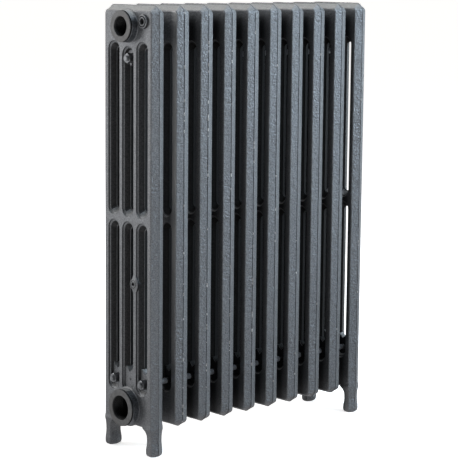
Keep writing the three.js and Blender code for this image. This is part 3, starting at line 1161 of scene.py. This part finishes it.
def place_hub_ends():
    """The bare ring and the thread at the mouth of each port, on both ends."""
    for level, size, z in (("top", TOP_HUB, TOP_PORT_Z), ("bottom", BOTTOM_HUB, BOTTOM_PORT_Z)):
        ring = paint(hub_ring(size, z), BARE, HOLLOW_SHADE)
        for polygon in ring.data.polygons:
            x, y, height = polygon.center / MM
            reach = math.hypot(y, height - z)
            # The groove and the barrel's end wall behind the ring take a near-black painted shade.
            if x > -HUB_FACE + 0.95 and reach > size[0] - GROOVE_DEPTH - 0.5:
                polygon.material_index = 1
        finish_mesh(ring, 20)
        screw = thread(
            "screw", size[1] + 0.4, -HUB_FACE + 1.2, -THREAD_REACH, 0, z, PORT_THREAD, 1.0, 72)
        paint(screw, THREAD)
        finish_mesh(screw, 30)
        place_at_ends({f"hub_ring_{level}": ring, f"port_thread_{level}": screw})


def place_vent_threads():
    """The thread in the upper vent boss of both ends."""
    screw = thread(
        "screw", TOP_VENT_HOLE + 0.2, -14.9, -THREAD_REACH, *TOP_VENT, VENT_THREAD, 0.8, 40)
    paint(screw, THREAD)
    finish_mesh(screw, 30)
    place_at_ends({"vent_thread": screw})


def place_rods_and_nuts():
    """The tie rods and their nuts: rods with painted light in the gaps and painted shade inside
    sections.
    """
    nut = paint(hex_nut(), STEEL)
    finish_mesh(nut)
    rod = paint(tie_rod(), STEEL, LIT_ROD, DEEP_SHADE)
    for polygon in rod.data.polygons:
        x = polygon.center.x / MM
        # Painted light in the gaps and painted shade inside the sections; the threaded ends keep the
        # steel.
        if abs(x) < SCREWED:
            in_section = min(abs(x - centre(i)) for i in range(SECTIONS)) < SHADED_HALF
            polygon.material_index = 2 if in_section else 1
    finish_mesh(rod, 35)
    for name, (y, z) in RODS.items():
        piece = place(copy_of(rod, f"threaded_rod_{name}"), (0, y, z))
        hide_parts(f"{name}_tie_rod")
        for side, turn in (("left", math.pi), ("right", 0.0)):
            piece = place(copy_of(nut, f"hex_nut_{name}_{side}"), (0, y, z), turn)
            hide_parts(f"{name}_nut_{side}")
    for source in (nut, rod):
        bpy.data.objects.remove(source)


def coat_cad_pieces():
    """Materials for the pieces that stay as the CAD has them: nipples and washers."""
    for name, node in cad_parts.items():
        if "nipple" in name:
            node.data.materials.clear()
            node.data.materials.append(BARE)
        elif "washer" in name:
            node.data.materials.clear()
            node.data.materials.append(STEEL)


# ---------------------------------------------------------------- stage


FLOOR_REACH = 30e3
ROOM_TINT = (0.9, 0.95, 1, 1)
ROOM_STRENGTH = 0.02
BACKDROP_STRENGTH = 1.3

# Softboxes as place, aim, size, radiance and colour.
SOFTBOXES = {
    "front_softbox": ((0.95, -1.6, 1.0), (0.1, 0, 0.4), (1.2, 1.1), 6.6, (0.68, 0.85, 1)),
    "high_front_softbox": ((0.7, -1.1, 1.15), (0.1, 0, 0.5), (0.8, 0.5), 8, (0.74, 0.88, 1)),
    "right_softbox": ((2.6, -0.55, 0.8), (0.1, 0, 0.35), (1.4, 1.6), 3.4, (0.8, 0.92, 1)),
    "rear_softbox": ((-1.7, 1.7, 0.7), (-0.22, 0, 0.45), (1.2, 1.3), 2.4, (0.98, 0.985, 1)),
    "rear_high_softbox": ((-1.7, 1.7, 1.9), (-0.22, 0, 0.45), (1.2, 1.1), 5.4, (0.97, 0.985, 1)),
    "top_softbox": ((0.0, -0.8, 2.6), (0, 0, 0.35), (2.4, 1.6), 3.3, (0.82, 0.91, 1)),
    "back_top_softbox": ((0.25, 1.9, 2.3), (0, 0, 0.6), (2.6, 1.6), 1.8, (1, 0.95, 0.88)),
}


def area_light(name, spot, aim, size, radiance, colour):
    """A rectangular softbox, its brightness given as radiance."""
    data = bpy.data.lights.new(name, "AREA")
    data.shape = "RECTANGLE"
    data.size, data.size_y = size
    data.energy = radiance * math.pi * size[0] * size[1]
    data.color = colour
    obj = bpy.data.objects.new(name, data)
    obj.location = spot
    obj.rotation_euler = (Vector(aim) - Vector(spot)).to_track_quat("-Z", "Y").to_euler()
    bpy.context.scene.collection.objects.link(obj)


def studio_world():
    """White to the camera and dim to everything else, as a studio is."""
    world = bpy.data.worlds.new("studio")
    world.use_nodes = True
    tree = world.node_tree
    tree.nodes.clear()
    dim = tree.nodes.new("ShaderNodeBackground")
    dim.inputs["Color"].default_value = ROOM_TINT
    dim.inputs["Strength"].default_value = ROOM_STRENGTH
    white = tree.nodes.new("ShaderNodeBackground")
    white.inputs["Strength"].default_value = BACKDROP_STRENGTH
    path = tree.nodes.new("ShaderNodeLightPath")
    mix = tree.nodes.new("ShaderNodeMixShader")
    output = tree.nodes.new("ShaderNodeOutputWorld")
    tree.links.new(path.outputs["Is Camera Ray"], mix.inputs[0])
    tree.links.new(dim.outputs[0], mix.inputs[1])
    tree.links.new(white.outputs[0], mix.inputs[2])
    tree.links.new(mix.outputs[0], output.inputs["Surface"])
    bpy.context.scene.world = world


def build_stage():
    """The floor, the world and the softboxes."""
    reach = FLOOR_REACH
    corners = [(-reach, -reach, 0), (reach, -reach, 0), (reach, reach, 0), (-reach, reach, 0)]
    floor = new_object("floor", corners, [(0, 1, 2, 3)])
    floor.data.materials.append(floor_material())
    studio_world()
    for name, values in SOFTBOXES.items():
        area_light(name, *values)


CAMERA_PLACE = Vector((-1.7918, -1.9514, 0.6964))
CAMERA_YAW = math.radians(42.262)
CAMERA_PITCH = math.radians(8.470)
CAMERA_ROLL = math.radians(0.524)
CAMERA_LENS = 141.51


def build_camera():
    """The camera, from its place, its three turns and its lens."""
    data = bpy.data.cameras.new("camera")
    data.sensor_width = 36
    data.lens = CAMERA_LENS
    data.clip_end = 100
    obj = bpy.data.objects.new("camera", data)
    bpy.context.scene.collection.objects.link(obj)
    yaw, pitch, roll = CAMERA_YAW, CAMERA_PITCH, CAMERA_ROLL
    ahead = Vector((math.sin(yaw) * math.cos(pitch), math.cos(yaw) * math.cos(pitch), -math.sin(pitch)))
    right = Vector((math.cos(yaw), -math.sin(yaw), 0))
    up = right.cross(ahead)
    turned_right = right * math.cos(roll) + up * math.sin(roll)
    turned_up = up * math.cos(roll) - right * math.sin(roll)
    basis = Matrix((turned_right, turned_up, -ahead)).transposed().to_4x4()
    obj.matrix_world = Matrix.Translation(CAMERA_PLACE) @ basis
    bpy.context.scene.camera = obj


place_castings()
place_flash()
place_hub_ends()
place_vent_threads()
place_rods_and_nuts()
coat_cad_pieces()
build_stage()
build_camera()
bpy.context.scene.view_settings.view_transform = "Standard"
